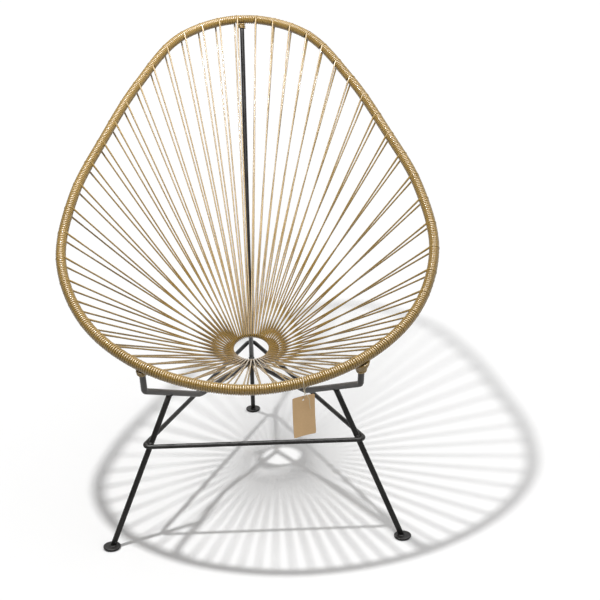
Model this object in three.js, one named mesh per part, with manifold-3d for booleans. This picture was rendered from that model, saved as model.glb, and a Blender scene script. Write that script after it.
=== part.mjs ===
// A string lounge chair on three splayed legs, in millimetres, +Z up, facing -Y.
// A pear-shaped rod hoop is wound with cord, and loops of the same cord run from it to a small ring.
import * as THREE from "three";
import { mergeVertices } from "three/addons/utils/BufferGeometryUtils.js";
import Module from "manifold-3d";

const wasm = await Module();
wasm.setup();

// Clearance between pieces that touch on the real chair.
const FIT = 0.3;

// The hoop: its lip stands before the front feet, and its crown is the top of the back.
const HOOP_HALF_WIDTH = 366;
const HOOP_DEPTH = 953.5;
const HOOP_LIP_HEIGHT = 374;
const HOOP_RISE = 527.5;
const HOOP_OVERHANG = 109.5;
const HOOP_ROD = 12;
// How far the crown stands to the sitter's left of the middle, and the share of the rise that it starts at.
const HOOP_LEAN = 5;
const LEAN_START_SHARE = 0.3;
const HOOP_STATIONS = 60;
// One side of the hoop from lip to crown: shares of its half width, its depth and its rise.
const HOOP_SHARES = [
  [0, 0, 0],
  [0.472, 0.042, 0.0425],
  [0.825, 0.152, 0.144],
  [0.992, 0.298, 0.2985],
  [0.9565, 0.4545, 0.475],
  [0.8145, 0.6175, 0.6355],
  [0.639, 0.775, 0.7965],
  [0.384, 0.9055, 0.9545],
  [0, 1, 1],
];

// The cord, as wound and as drawn tight in the loops, and how closely it is wound on the hoop.
const CORD = 4;
const TIGHT_CORD = 3.4;
const CORD_SIDES = 6;
const PLAIN_CORD_SIDES = 5;
const TURN_PITCH = 4.7;
const WIND_FIT = 0.6;
const SLEEVE_SIDES = 8;
const BORE_SIDES = 8;
const SLEEVE_OVERRUN = 4;

// The wound stretch at the lip, whose turns are all made: its turns, and those that a loop leaves from.
const LIP_TURNS = 21.5;
const TURN_STEPS = 16;
const LIP_LOOP_TURNS = [3, 8, 13, 18];
// How much sooner and later than a loop itself, in turns, the winding steps on for it.
const LOOP_EASE = 0.06;

// The loops: how many, how many to a length of cord, how far along the hoop each comes back from
// where it left, in turns, and how their spacing changes from lip to crown.
const LOOPS = 56;
const LOOPS_PER_CORD = 4;
const LOOP_TURNS = 1.9;
const LIP_SPACING_SHARE = 0.53;
const SIDE_SPACING_SHARE = 0.65;
const CROWN_SPACING_SHARE = 0.36;
const SIDE_START_SHARE = 0.15;
const SIDE_FULL_SHARE = 0.57;
const CROWN_START_SHARE = 0.7;
const CROWN_FULL_SHARE = 1;
// How far along the hoop the loops at the crown lie to the sitter's left, and the shares it grows between.
const LOOP_DRIFT = 10.5;
const DRIFT_START_SHARE = 0.74;
const DRIFT_FULL_SHARE = 0.93;

// The ring in the middle of the seat.
const RING_RADIUS = 43;
const RING_ROD = 6;
const RING_Y = 324;
const RING_ABOVE_SADDLE = 42.5;
const RING_TILT = THREE.MathUtils.degToRad(20);
const RING_STEPS = 36;
const RING_SIDES = 6;
const RING_FIT = 0.9;
const RETURN_STEPS = 4;
const RETURN_SHARE = 0.6;

// The arms: rods that rise to the hoop at both sides and meet under the seat.
const ARM_ROD = 12;
const ARM_JOINT_ARC = 213;
const ARM_DROP = 63;
const ARM_SETBACK = 31.5;
const ARM_OUTER_BEND = 16;
const ARM_INNER_X = 107;
const ARM_INNER_Y = 187.5;
const ARM_INNER_BEND = 55;
const SADDLE_Y = 354;
const SADDLE_HEIGHT = 239.5;

// The spine: a rod from the crown down behind the back, and forward under the ring to the arms.
const SPINE_ROD = 10;
const SPINE_BEND_Y = 540;
const SPINE_BEND = 60;

// The legs and the bent stretcher that goes round them.
const LEG_ROD = 11;
const FRONT_FOOT_X = 285;
const LEG_TOP_SHARE = 0.44;
const REAR_LEG_ROD = 10;
const REAR_FOOT_Y = 628;
const REAR_LEG_TOP_Y = 517;
const STRETCHER_ROD = 9;
const STRETCHER_FRONT_HEIGHT = 198;
const STRETCHER_REAR_HEIGHT = 211;

// Round feet: a steel plate under each leg and a pad under the plate.
const FOOT_PLATE = 34;
const FOOT_PLATE_THICK = 3;
const FOOT_PLATE_EDGE = 0.8;
const FOOT_PAD = 30;
const FOOT_PAD_THICK = 2;
const FOOT_SEGMENTS = 20;

// Cord wrapped round the rods where they leave the hoop.
const LEFT_WRAP_TURNS = 1;
const RIGHT_WRAP_TURNS = 3;
const CROWN_WRAP_TURNS = 1;
const WRAP_DROP = 8;

// The card tag on its string.
const TAG_ARC = 92;
const TAG_WIDTH = 46;
const TAG_HEIGHT = 77;
const TAG_THICK = 0.8;
const TAG_HOLE = 4;
const TAG_HOLE_DROP = 7.5;
const TAG_HOLE_SEGMENTS = 16;
const TAG_TURN = THREE.MathUtils.degToRad(27);
const STRING = 1.2;
const STRING_SIDES = 8;
const STRING_DROP = 17.5;
const STRING_TAIL = 14;
const STRING_START = THREE.MathUtils.degToRad(-30);
const STRING_WRAP = THREE.MathUtils.degToRad(300);
const STRING_STEPS = 12;

const ROD_SIDES = 12;
const BEND_STEPS = 5;

const COIL_RADIUS = HOOP_ROD / 2 + WIND_FIT + CORD / 2;
const SLEEVE_RADIUS = COIL_RADIUS + CORD / 2;
const RETURN_RADIUS = RING_ROD / 2 + RING_FIT + TIGHT_CORD / 2;
const FOOT_HEIGHT = FOOT_PAD_THICK + FIT + FOOT_PLATE_THICK + FIT;

const v3 = (x, y, z) => new THREE.Vector3(x, y, z);
const UP = v3(0, 0, 1);

const STEEL = { color: 0x2b2b2e, roughness: 0.42, metalness: 0.6 };
const WOUND = { color: 0xb08a44, roughness: 0.4, metalness: 0 };
const RUBBER = { color: 0x17171a, roughness: 0.8, metalness: 0 };
const CARD = { color: 0xb58d62, roughness: 0.9, metalness: 0 };
const TWINE = { color: 0xe6d6b4, roughness: 0.9, metalness: 0 };

const chair = new THREE.Group();

// Adds a geometry, or a solid, to the chair as a named mesh with its own material.
function add(name, shape, finish) {
  const geometry = shape.isBufferGeometry ? shape : geometryOf(shape);
  const mesh = new THREE.Mesh(geometry, new THREE.MeshStandardMaterial(finish));
  mesh.name = name;
  chair.add(mesh);
  return mesh;
}

// A closed geometry as a solid that can be joined and cut.
function solidOf(geometry) {
  const plain = geometry.clone();
  plain.deleteAttribute("normal");
  plain.deleteAttribute("uv");
  const merged = mergeVertices(plain);
  return new wasm.Manifold(
    new wasm.Mesh({
      numProp: 3,
      vertProperties: new Float32Array(merged.attributes.position.array),
      triVerts: new Uint32Array(merged.index.array),
    }),
  );
}

function geometryOf(solid) {
  const mesh = solid.getMesh();
  const geometry = new THREE.BufferGeometry();
  geometry.setAttribute("position", new THREE.BufferAttribute(mesh.vertProperties, 3));
  geometry.setIndex(new THREE.BufferAttribute(mesh.triVerts, 1));
  geometry.computeVertexNormals();
  return geometry;
}

// Joins rings of points into one closed surface, with flat ends unless the rings close on themselves.
function skin(rings, closed) {
  const sides = rings[0].length;
  const points = rings.flat().flatMap((p) => p.toArray());
  const faces = [];
  const spans = closed ? rings.length : rings.length - 1;
  for (let i = 0; i < spans; i++) {
    const near = i * sides;
    const far = ((i + 1) % rings.length) * sides;
    for (let j = 0; j < sides; j++) {
      const k = (j + 1) % sides;
      faces.push(near + j, near + k, far + j, near + k, far + k, far + j);
    }
  }
  const last = (rings.length - 1) * sides;
  for (let j = 1; j < sides - 1 && !closed; j++) {
    faces.push(0, j + 1, j, last, last + j, last + j + 1);
  }
  const geometry = new THREE.BufferGeometry();
  geometry.setAttribute("position", new THREE.Float32BufferAttribute(points, 3));
  geometry.setIndex(faces);
  geometry.computeVertexNormals();
  return geometry;
}

const direction = (from, to) => to.clone().sub(from).normalize();

// A round rod along a list of points, mitred at each point; its ends can be cut on a given plane.
// Its diameter is one number, or a list with one for each point.
function rod(points, diameter, { sides = ROD_SIDES, closed = false, startCut, endCut } = {}) {
  const count = points.length;
  const spans = points.map((p, i) => direction(p, points[(i + 1) % count]));
  if (!closed) spans[count - 1] = spans[count - 2].clone();
  let across = spans[0].clone().cross(Math.abs(spans[0].z) < 0.9 ? UP : v3(1, 0, 0)).normalize();
  const rings = points.map((p, i) => {
    const before = i > 0 ? spans[i - 1] : closed ? spans[count - 1] : spans[0];
    if (i > 0) across.applyQuaternion(new THREE.Quaternion().setFromUnitVectors(before, spans[i]));
    let cut = before.clone().add(spans[i]).normalize();
    if (i === 0 && startCut) cut = startCut;
    if (i === count - 1 && endCut) cut = endCut;
    const beside = spans[i].clone().cross(across);
    const width = Array.isArray(diameter) ? diameter[i] : diameter;
    return circle(across, beside, width / 2, sides).map((reach) =>
      reach.addScaledVector(spans[i], -reach.dot(cut) / spans[i].dot(cut)).add(p),
    );
  });
  return skin(rings, closed);
}

// Points round a circle in the plane of two unit vectors.
function circle(across, beside, radius, sides) {
  return Array.from({ length: sides }, (_, j) => {
    const angle = (j / sides) * 2 * Math.PI;
    return v3(0, 0, 0)
      .addScaledVector(across, radius * Math.cos(angle))
      .addScaledVector(beside, radius * Math.sin(angle));
  });
}

// A bent rod's centre line: each inner corner of a list of points becomes an arc of a given radius.
function bent(corners, radii, closed = false) {
  const count = corners.length;
  return corners.flatMap((corner, i) => {
    if (!closed && (i === 0 || i === count - 1)) return [corner];
    const back = direction(corner, corners[(i + count - 1) % count]);
    const on = direction(corner, corners[(i + 1) % count]);
    const half = back.angleTo(on) / 2;
    const radius = Array.isArray(radii) ? radii[i] : radii;
    const centre = back.clone().add(on).normalize().multiplyScalar(radius / Math.sin(half)).add(corner);
    const start = back.multiplyScalar(radius / Math.tan(half)).add(corner).sub(centre);
    const end = on.multiplyScalar(radius / Math.tan(half)).add(corner).sub(centre);
    const axis = start.clone().cross(end).normalize();
    const sweep = start.angleTo(end);
    return Array.from({ length: BEND_STEPS + 1 }, (_, k) =>
      start.clone().applyAxisAngle(axis, (sweep * k) / BEND_STEPS).add(centre),
    );
  });
}

// The hoop as a closed line of straight stations, so that what follows it lies on the same line.
function hoopStations() {
  const side = HOOP_SHARES.map(([x, y, z]) =>
    v3(x * HOOP_HALF_WIDTH, y * HOOP_DEPTH - HOOP_OVERHANG, z * HOOP_RISE + HOOP_LIP_HEIGHT),
  );
  const mirrored = side.slice(1, -1).reverse().map((p) => v3(-p.x, p.y, p.z));
  const marks = [...side, ...mirrored].map((p) => {
    const share = (p.z - HOOP_LIP_HEIGHT) / HOOP_RISE;
    return p.add(v3(HOOP_LEAN * THREE.MathUtils.smoothstep(share, LEAN_START_SHARE, 1), 0, 0));
  });
  const curve = new THREE.CatmullRomCurve3(marks, true, "centripetal");
  curve.arcLengthDivisions = HOOP_STATIONS * HOOP_STATIONS;
  return curve.getSpacedPoints(HOOP_STATIONS).slice(0, HOOP_STATIONS);
}

const stations = hoopStations();
const chords = stations.map((p, i) => p.distanceTo(stations[(i + 1) % HOOP_STATIONS]));
const HOOP_LENGTH = chords.reduce((sum, chord) => sum + chord, 0);
const ringCentre = v3(0, RING_Y, SADDLE_HEIGHT + RING_ABOVE_SADDLE);
const ringBack = v3(0, Math.cos(RING_TILT), Math.sin(RING_TILT));
const ringUp = v3(0, -Math.sin(RING_TILT), Math.cos(RING_TILT));

// The frame of a station: along the hoop, inward to the ring, and out on the sitter's side.
function stationFrame(i) {
  const last = stations[(i + HOOP_STATIONS - 1) % HOOP_STATIONS];
  const next = stations[(i + 1) % HOOP_STATIONS];
  const along = direction(last, next);
  const inward = direction(stations[i], ringCentre);
  inward.addScaledVector(along, -inward.dot(along)).normalize();
  return { point: stations[i], along, inward, face: along.clone().cross(inward) };
}

const frames = stations.map((_, i) => stationFrame(i));

// The frame at any distance along the hoop from the middle of its lip, the sitter's left side first.
function hoopAt(arc) {
  let rest = THREE.MathUtils.euclideanModulo(arc, HOOP_LENGTH);
  let i = 0;
  while (rest > chords[i] && i < HOOP_STATIONS - 1) rest -= chords[i++];
  const a = frames[i];
  const b = frames[(i + 1) % HOOP_STATIONS];
  const share = rest / chords[i];
  const mix = (key) => a[key].clone().lerp(b[key], share).normalize();
  return {
    point: a.point.clone().lerp(b.point, share),
    along: mix("along"),
    inward: mix("inward"),
    face: mix("face"),
  };
}

const ringOf = (frame, radius, sides) =>
  circle(frame.inward, frame.face, radius, sides).map((reach) => reach.add(frame.point));

// The distances of the stations that lie between two distances, with both ends.
function arcsBetween(from, to) {
  const arcs = [from];
  let arc = 0;
  for (let i = 0; arc < to; arc += chords[i++ % HOOP_STATIONS]) {
    if (arc > from + FIT && arc < to - FIT) arcs.push(arc);
  }
  return [...arcs, to];
}

// A length of the wound layer as a plain sleeve round the hoop's rod.
function sleeve(from, to) {
  const outer = arcsBetween(from, to).map((arc) => ringOf(hoopAt(arc), SLEEVE_RADIUS, SLEEVE_SIDES));
  const bored = arcsBetween(from, to).map((arc) => ringOf(hoopAt(arc), HOOP_ROD / 2 + FIT, BORE_SIDES));
  const start = hoopAt(from - SLEEVE_OVERRUN);
  const end = hoopAt(to + SLEEVE_OVERRUN);
  const rings = [start, end].map((frame) => ringOf(frame, HOOP_ROD / 2 + FIT, BORE_SIDES));
  return solidOf(skin(outer, false)).subtract(solidOf(skin([rings[0], ...bored, rings[1]], false)));
}

// How wide the step to the next loop is, as a share of the mean step, at a share of the way to the crown.
function spacingShare(share) {
  const side = THREE.MathUtils.smoothstep(share, SIDE_START_SHARE, SIDE_FULL_SHARE);
  const crown = THREE.MathUtils.smoothstep(share, CROWN_START_SHARE, CROWN_FULL_SHARE);
  return LIP_SPACING_SHARE + SIDE_SPACING_SHARE * side - CROWN_SPACING_SHARE * crown;
}

// The distance of each loop's middle along the hoop, up one side and down the other.
function loopArcs() {
  const half = LOOPS / 2;
  const steps = Array.from({ length: half }, (_, k) => spacingShare((k + 1 / 2) / half));
  const total = steps.reduce((sum, step) => sum + step, 0);
  let passed = 0;
  const side = steps.map((step) => {
    passed += step;
    return ((passed - step / 2) / total) * (HOOP_LENGTH / 2);
  });
  const drift = (arc) => {
    const share = 1 - Math.abs((2 * arc) / HOOP_LENGTH - 1);
    return LOOP_DRIFT * THREE.MathUtils.smoothstep(share, DRIFT_START_SHARE, DRIFT_FULL_SHARE);
  };
  return [...side, ...side.map((arc) => HOOP_LENGTH - arc).reverse()].map((arc) => arc - drift(arc));
}

// A loop's way from the hoop's face, round the ring from below, and back to the hoop's back.
function loopRoute(index, arc) {
  const step = (2 * Math.PI) / LOOPS;
  const leave = hoopAt(arc - (LOOP_TURNS * TURN_PITCH) / 2);
  const back = hoopAt(arc + (LOOP_TURNS * TURN_PITCH) / 2);
  const turn = Array.from({ length: RETURN_STEPS + 1 }, (_, k) => {
    const share = k / RETURN_STEPS;
    const outward = ringOutward((index + 1 / 2 + (share - 1 / 2) * RETURN_SHARE) * step);
    const seat = ringCentre.clone().addScaledVector(outward, RING_RADIUS);
    const tangent = outward.clone().cross(ringUp);
    const pull = direction(seat, hoopAt(arc).point).projectOnPlane(tangent).normalize();
    return seat
      .addScaledVector(pull, -RETURN_RADIUS * Math.sin(share * Math.PI))
      .addScaledVector(pull.clone().cross(tangent), RETURN_RADIUS * Math.cos(share * Math.PI));
  });
  return [
    leave.point.clone().addScaledVector(leave.face, COIL_RADIUS),
    ...turn,
    back.point.clone().addScaledVector(back.face, -COIL_RADIUS),
  ];
}

// The direction from the ring's middle at an angle from the sitter's front.
function ringOutward(angle) {
  return v3(Math.sin(angle), 0, 0).addScaledVector(ringBack, -Math.cos(angle));
}

// The distance along the hoop of a number of turns of the lip, which step on further where a loop leaves.
function lipArc(turns) {
  const span = 1 / 2 + 2 * LOOP_EASE;
  const extra = (LOOP_TURNS - 1 / 2) * 2 * span;
  const passed = LIP_LOOP_TURNS.map((at) => THREE.MathUtils.clamp((turns - at + LOOP_EASE) / span, 0, 1));
  const steps = turns + extra * passed.reduce((sum, share) => sum + share, 0);
  return (steps - (LIP_TURNS + extra * LIP_LOOP_TURNS.length) / 2) * TURN_PITCH;
}

// The wound cord of the lip as one route: turns round the rod, and from four of them a loop to the ring.
// Its points come with the cord's thickness at each.
function lipRoute() {
  const points = [];
  const widths = [];
  const pass = (point, width) => {
    points.push(point);
    widths.push(width);
  };
  pass(lipEnd(0, -1), CORD);
  const half = TURN_STEPS / 2;
  for (let k = 0; k <= LIP_TURNS * TURN_STEPS; k++) {
    const turns = k / TURN_STEPS;
    const loop = LIP_LOOP_TURNS.findIndex((at) => k >= at * TURN_STEPS && k < at * TURN_STEPS + half);
    if (loop < 0) pass(turnPoint(turns), CORD);
    if (loop >= 0 && k === LIP_LOOP_TURNS[loop] * TURN_STEPS) {
      const index = (loop + LOOPS - LIP_LOOP_TURNS.length / 2) % LOOPS;
      const [leave, ...returning] = loopRoute(index, lipArc(turns + 1 / 4)).slice(0, -1);
      pass(leave, CORD);
      returning.forEach((point) => pass(point, TIGHT_CORD));
    }
  }
  pass(lipEnd(LIP_TURNS, 1), CORD);
  return { points, widths };
}

function turnPoint(turns) {
  const frame = hoopAt(lipArc(turns));
  const angle = turns * 2 * Math.PI;
  return frame.point
    .clone()
    .addScaledVector(frame.face, COIL_RADIUS * Math.cos(angle))
    .addScaledVector(frame.inward, COIL_RADIUS * Math.sin(angle));
}

// Where the lip's cord ends: a straight bit one cord long, square across the hoop, before or after its turns.
function lipEnd(turns, way) {
  const frame = hoopAt(lipArc(turns));
  const angle = turns * 2 * Math.PI;
  return turnPoint(turns)
    .addScaledVector(frame.face, -way * CORD * Math.sin(angle))
    .addScaledVector(frame.inward, way * CORD * Math.cos(angle));
}

// The least gap of a wound tube to itself, from points along it that are more than half a turn apart.
function leastGap({ points: route, widths }, reach) {
  const points = [];
  const radii = [];
  const arcs = [];
  let arc = 0;
  for (let i = 0; i + 1 < route.length; i++) {
    const length = route[i].distanceTo(route[i + 1]);
    const parts = Math.max(1, Math.ceil(length / (widths[i] / 4)));
    for (let k = 0; k < parts; k++) {
      points.push(route[i].clone().lerp(route[i + 1], k / parts));
      radii.push(THREE.MathUtils.lerp(widths[i], widths[i + 1], k / parts) / 2);
      arcs.push(arc + (length * k) / parts);
    }
    arc += length;
  }
  let least = Infinity;
  points.forEach((p, i) => {
    for (let j = i + 1; j < points.length; j++) {
      if (arcs[j] - arcs[i] > reach) least = Math.min(least, p.distanceTo(points[j]) - radii[i] - radii[j]);
    }
  });
  return least;
}

function addHoop() {
  const rings = frames.map((frame) => ringOf(frame, HOOP_ROD / 2, BORE_SIDES));
  add("hoop_rod", skin(rings, true), STEEL);
}

function addRing() {
  const line = Array.from({ length: RING_STEPS }, (_, k) =>
    ringOutward((k / RING_STEPS) * 2 * Math.PI).multiplyScalar(RING_RADIUS).add(ringCentre),
  );
  add("centre_ring", rod(line, RING_ROD, { sides: RING_SIDES, closed: true }), STEEL);
}

// The loops' cord in lengths of four loops, each joined to its own length of the wound layer.
function addSeatCords(cuts) {
  const arcs = loopArcs();
  const first = LIP_LOOP_TURNS.length / 2;
  const lipReach = lipArc(LIP_TURNS) + CORD / 2 + FIT;
  const lengths = (LOOPS - LIP_LOOP_TURNS.length) / LOOPS_PER_CORD;
  for (let n = 0; n < lengths; n++) {
    const from = first + n * LOOPS_PER_CORD;
    const to = from + LOOPS_PER_CORD - 1;
    const start = n === 0 ? lipReach : (arcs[from - 1] + arcs[from] + FIT) / 2;
    const end = n === lengths - 1 ? HOOP_LENGTH - lipReach : (arcs[to] + arcs[to + 1] - FIT) / 2;
    let cord = sleeve(start, end);
    for (let index = from; index <= to; index++) {
      cord = cord.add(solidOf(rod(loopRoute(index, arcs[index]), TIGHT_CORD, { sides: PLAIN_CORD_SIDES })));
    }
    cuts.forEach((cut) => {
      cord = cord.subtract(cut);
    });
    add("seat_cord_" + String(n + 1).padStart(2, "0"), cord.simplify(FIT / 4), WOUND);
  }
}

function addLipCord() {
  const route = lipRoute();
  console.log("lip cord, least gap to itself:", leastGap(route, Math.PI * COIL_RADIUS).toFixed(2));
  add("lip_cord", rod(route.points, route.widths, { sides: CORD_SIDES }), WOUND);
}

// One arm's corners: on the hoop, the bend below it, the bend under the seat, and the middle.
function armCorners(side) {
  const joint = hoopAt(ARM_JOINT_ARC).point;
  const corners = [
    joint,
    v3(joint.x, joint.y + ARM_SETBACK, joint.z - ARM_DROP),
    v3(ARM_INNER_X, ARM_INNER_Y, SADDLE_HEIGHT),
    v3(FIT / 2, SADDLE_Y, SADDLE_HEIGHT),
  ];
  return corners.map((p) => v3(side * p.x, p.y, p.z));
}

const armLine = (side) => bent(armCorners(side), [0, ARM_OUTER_BEND, ARM_INNER_BEND, 0]);

const crown = hoopAt(HOOP_LENGTH / 2).point;
const spineCorners = [crown, v3(0, SPINE_BEND_Y, SADDLE_HEIGHT), v3(0, SADDLE_Y, SADDLE_HEIGHT)];
const spineLine = bent(spineCorners, SPINE_BEND);

// A slightly longer and thicker copy of a rod, which cuts room for the rod out of what it meets.
function cutter(line, diameter, cuts) {
  const last = line.length - 1;
  const start = direction(line[1], line[0]).multiplyScalar(2 * FIT).add(line[0]);
  const end = direction(line[last - 1], line[last]).multiplyScalar(2 * FIT).add(line[last]);
  return solidOf(rod([start, ...line.slice(1, -1), end], diameter + 3 * FIT, cuts));
}

const hoopCutter = solidOf(
  skin(frames.map((frame) => ringOf(frame, HOOP_ROD / 2 + 2 * FIT, BORE_SIDES)), true),
);
const armCutters = [-1, 1].map((side) => cutter(armLine(side), ARM_ROD, { endCut: v3(side, 0, 0) }));

function addArms() {
  [-1, 1].forEach((side) => {
    const arm = solidOf(rod(armLine(side), ARM_ROD, { endCut: v3(side, 0, 0) }));
    add(side < 0 ? "arm_left" : "arm_right", arm.subtract(hoopCutter), STEEL);
  });
}

function addSpine() {
  let spine = solidOf(rod(spineLine, SPINE_ROD)).subtract(hoopCutter);
  armCutters.forEach((cut) => {
    spine = spine.subtract(cut);
  });
  add("spine_rod", spine, STEEL);
}

// The axis of a front leg, from the floor up to the arm that it carries.
function legAxis(side) {
  const corners = armCorners(side);
  return [v3(side * FRONT_FOOT_X, 0, 0), corners[1].clone().lerp(corners[2], LEG_TOP_SHARE)];
}

const rearAxis = [v3(0, REAR_FOOT_Y, 0), v3(0, REAR_LEG_TOP_Y, SADDLE_HEIGHT)];

// The point of a leg's axis at a height.
function axisAt([foot, top], height) {
  return foot.clone().lerp(top, (height - foot.z) / (top.z - foot.z));
}

function addLeg(name, axis, diameter, cut) {
  const line = [axisAt(axis, FOOT_HEIGHT), axis[1]];
  add(name, solidOf(rod(line, diameter, { startCut: UP })).subtract(cut), STEEL);
}

function addLegs() {
  addLeg("front_leg_left", legAxis(-1), LEG_ROD, armCutters[0]);
  addLeg("front_leg_right", legAxis(1), LEG_ROD, armCutters[1]);
  addLeg("rear_leg", rearAxis, REAR_LEG_ROD, cutter(spineLine, SPINE_ROD));
}

// How far beside a leg's axis, across a level rod, the rod's own axis must pass to clear the leg.
function clearBeside(axis, along, across, diameter) {
  const normal = along.clone().cross(direction(axis[0], axis[1])).normalize();
  return ((diameter + STRETCHER_ROD) / 2 + 2 * FIT) / Math.abs(normal.dot(across));
}

// The stretcher's three corners: its straight runs pass close outside the three legs.
function stretcherCorners() {
  const legAt = axisAt(legAxis(1), STRETCHER_FRONT_HEIGHT);
  const rearAt = axisAt(rearAxis, STRETCHER_REAR_HEIGHT);
  const side = direction(legAt, rearAt);
  const out = side.clone().cross(UP).normalize();
  const offset = Math.max(
    clearBeside(legAxis(1), side, out, LEG_ROD),
    clearBeside(rearAxis, side, out, REAR_LEG_ROD),
  );
  const ahead = clearBeside(legAxis(1), v3(1, 0, 0), v3(0, 1, 0), LEG_ROD);
  const onSide = legAt.clone().addScaledVector(out, offset);
  const frontY = legAt.y - ahead;
  const front = onSide.clone().addScaledVector(side, (frontY - onSide.y) / side.y);
  const apex = onSide.clone().addScaledVector(side, -onSide.x / side.x);
  const apexHeight = STRETCHER_REAR_HEIGHT;
  return [
    v3(front.x, front.y, STRETCHER_FRONT_HEIGHT),
    v3(0, apex.y, apexHeight),
    v3(-front.x, front.y, STRETCHER_FRONT_HEIGHT),
  ];
}

function addStretcher() {
  const radius = (LEG_ROD + STRETCHER_ROD) / 2 + FIT;
  const line = bent(stretcherCorners(), radius, true);
  add("stretcher", rod(line, STRETCHER_ROD, { closed: true }), STEEL);
}

// A round foot: a turned plate with an eased edge, and the pad that it stands on.
function addFoot(name, x, y) {
  const low = FOOT_PAD_THICK + FIT;
  const high = low + FOOT_PLATE_THICK;
  const edge = FOOT_PLATE / 2 - FOOT_PLATE_EDGE;
  const profile = [
    [0, low],
    [FOOT_PLATE / 2, low],
    [FOOT_PLATE / 2, high - FOOT_PLATE_EDGE],
    [edge, high],
    [0, high],
  ];
  add("foot_plate_" + name, turned(profile, x, y), STEEL);
  const pad = [
    [0, 0],
    [FOOT_PAD / 2, 0],
    [FOOT_PAD / 2, FOOT_PAD_THICK],
    [0, FOOT_PAD_THICK],
  ];
  add("foot_pad_" + name, turned(pad, x, y), RUBBER);
}

// A profile of radius and height, turned about an upright axis.
function turned(profile, x, y) {
  const outline = profile.map(([radius, height]) => new THREE.Vector2(radius, height));
  const shape = new THREE.LatheGeometry(outline, FOOT_SEGMENTS);
  shape.rotateX(Math.PI / 2);
  shape.translate(x, y, 0);
  return shape;
}

function addFeet() {
  addFoot("left", -FRONT_FOOT_X, 0);
  addFoot("right", FRONT_FOOT_X, 0);
  addFoot("rear", 0, REAR_FOOT_Y);
}

// Turns of cord round a rod, just below the wound hoop, with a straight bit one cord long at each end.
function addWrap(name, line, rodDiameter, turns) {
  const along = direction(line[0], line[1]);
  const across = along.clone().cross(v3(1, 0, 0)).normalize();
  const beside = along.clone().cross(across);
  const radius = rodDiameter / 2 + 2 * FIT + CORD / 2;
  const start = SLEEVE_RADIUS + WRAP_DROP + CORD / 2;
  const route = Array.from({ length: turns * TURN_STEPS + 1 }, (_, k) => {
    const angle = (k / TURN_STEPS) * 2 * Math.PI;
    return line[0]
      .clone()
      .addScaledVector(along, start + (TURN_PITCH * k) / TURN_STEPS)
      .addScaledVector(across, radius * Math.cos(angle))
      .addScaledVector(beside, radius * Math.sin(angle));
  });
  const first = route[0].clone().addScaledVector(beside, -CORD);
  const last = route.at(-1).clone().addScaledVector(beside, CORD);
  add(name, rod([first, ...route, last], CORD, { sides: CORD_SIDES }), WOUND);
}

function addWraps() {
  addWrap("joint_wrap_left", armCorners(-1), ARM_ROD, LEFT_WRAP_TURNS);
  addWrap("joint_wrap_right", armCorners(1), ARM_ROD, RIGHT_WRAP_TURNS);
  addWrap("joint_wrap_crown", spineCorners, SPINE_ROD, CROWN_WRAP_TURNS);
}

const tagFrame = hoopAt(TAG_ARC);
const stringRadius = SLEEVE_RADIUS + 2 * FIT + STRING / 2;
const tagAcross = v3(Math.cos(TAG_TURN), Math.sin(TAG_TURN), 0);
const tagFace = v3(Math.sin(TAG_TURN), -Math.cos(TAG_TURN), 0);
// Where the string comes together before the hoop, and the card's hole below and behind that place.
const knot = tagFrame.point.clone().addScaledVector(tagFrame.inward, -stringRadius / 3);
knot.addScaledVector(UP, -STRING_DROP);
const tagEye = knot.clone().addScaledVector(UP, -STRING_DROP).addScaledVector(tagFace, -3 * STRING);

// The blank card, hung by a punched hole near its upper edge.
function addTag() {
  const outline = new THREE.Shape();
  const top = TAG_HOLE_DROP;
  outline.moveTo(-TAG_WIDTH / 2, top - TAG_HEIGHT);
  outline.lineTo(TAG_WIDTH / 2, top - TAG_HEIGHT);
  outline.lineTo(TAG_WIDTH / 2, top);
  outline.lineTo(-TAG_WIDTH / 2, top);
  const hole = new THREE.Path().absarc(0, 0, TAG_HOLE / 2, 0, 2 * Math.PI, true);
  outline.holes.push(hole);
  const card = new THREE.ExtrudeGeometry(outline, {
    depth: TAG_THICK,
    bevelEnabled: false,
    curveSegments: TAG_HOLE_SEGMENTS,
  });
  card.translate(0, 0, -TAG_THICK / 2);
  const turn = new THREE.Matrix4().makeBasis(tagAcross, UP, tagFace);
  card.applyMatrix4(turn.setPosition(tagEye));
  add("tag_card", card, CARD);
}

// The string: a tail before the card, up and once round the hoop, and down through the card's hole,
// whose upper edge hangs on it.
function addString() {
  const { point, along, inward, face } = tagFrame;
  const round = Array.from({ length: STRING_STEPS + 1 }, (_, k) => {
    const share = k / STRING_STEPS;
    const angle = STRING_START + share * STRING_WRAP;
    return point
      .clone()
      .addScaledVector(along, (share - 1 / 2) * 4 * STRING)
      .addScaledVector(inward, -stringRadius * Math.cos(angle))
      .addScaledVector(face, stringRadius * Math.sin(angle));
  });
  const beside = (share) => knot.clone().addScaledVector(along, share * STRING);
  const seat = tagEye.clone().addScaledVector(UP, (TAG_HOLE - STRING) / 2 - FIT);
  const before = seat.clone().addScaledVector(tagFace, 2 * STRING);
  const behind = seat.clone().addScaledVector(tagFace, -2 * STRING);
  const tail = before.clone().addScaledVector(tagAcross, -3 * STRING).addScaledVector(UP, -STRING_TAIL);
  const route = [tail, beside(-2), ...round, beside(1), before, behind];
  add("tag_string", rod(route, STRING, { sides: STRING_SIDES }), TWINE);
}

addHoop();
addRing();
addLipCord();
addSeatCords([...armCutters, cutter(spineLine, SPINE_ROD)]);
addArms();
addSpine();
addLegs();
addStretcher();
addFeet();
addWraps();
addTag();
addString();

// The part stands on the floor with its box centred on the origin.
const box = new THREE.Box3().setFromObject(chair);
chair.position.y = -(box.min.y + box.max.y) / 2;

export default chair;
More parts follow.
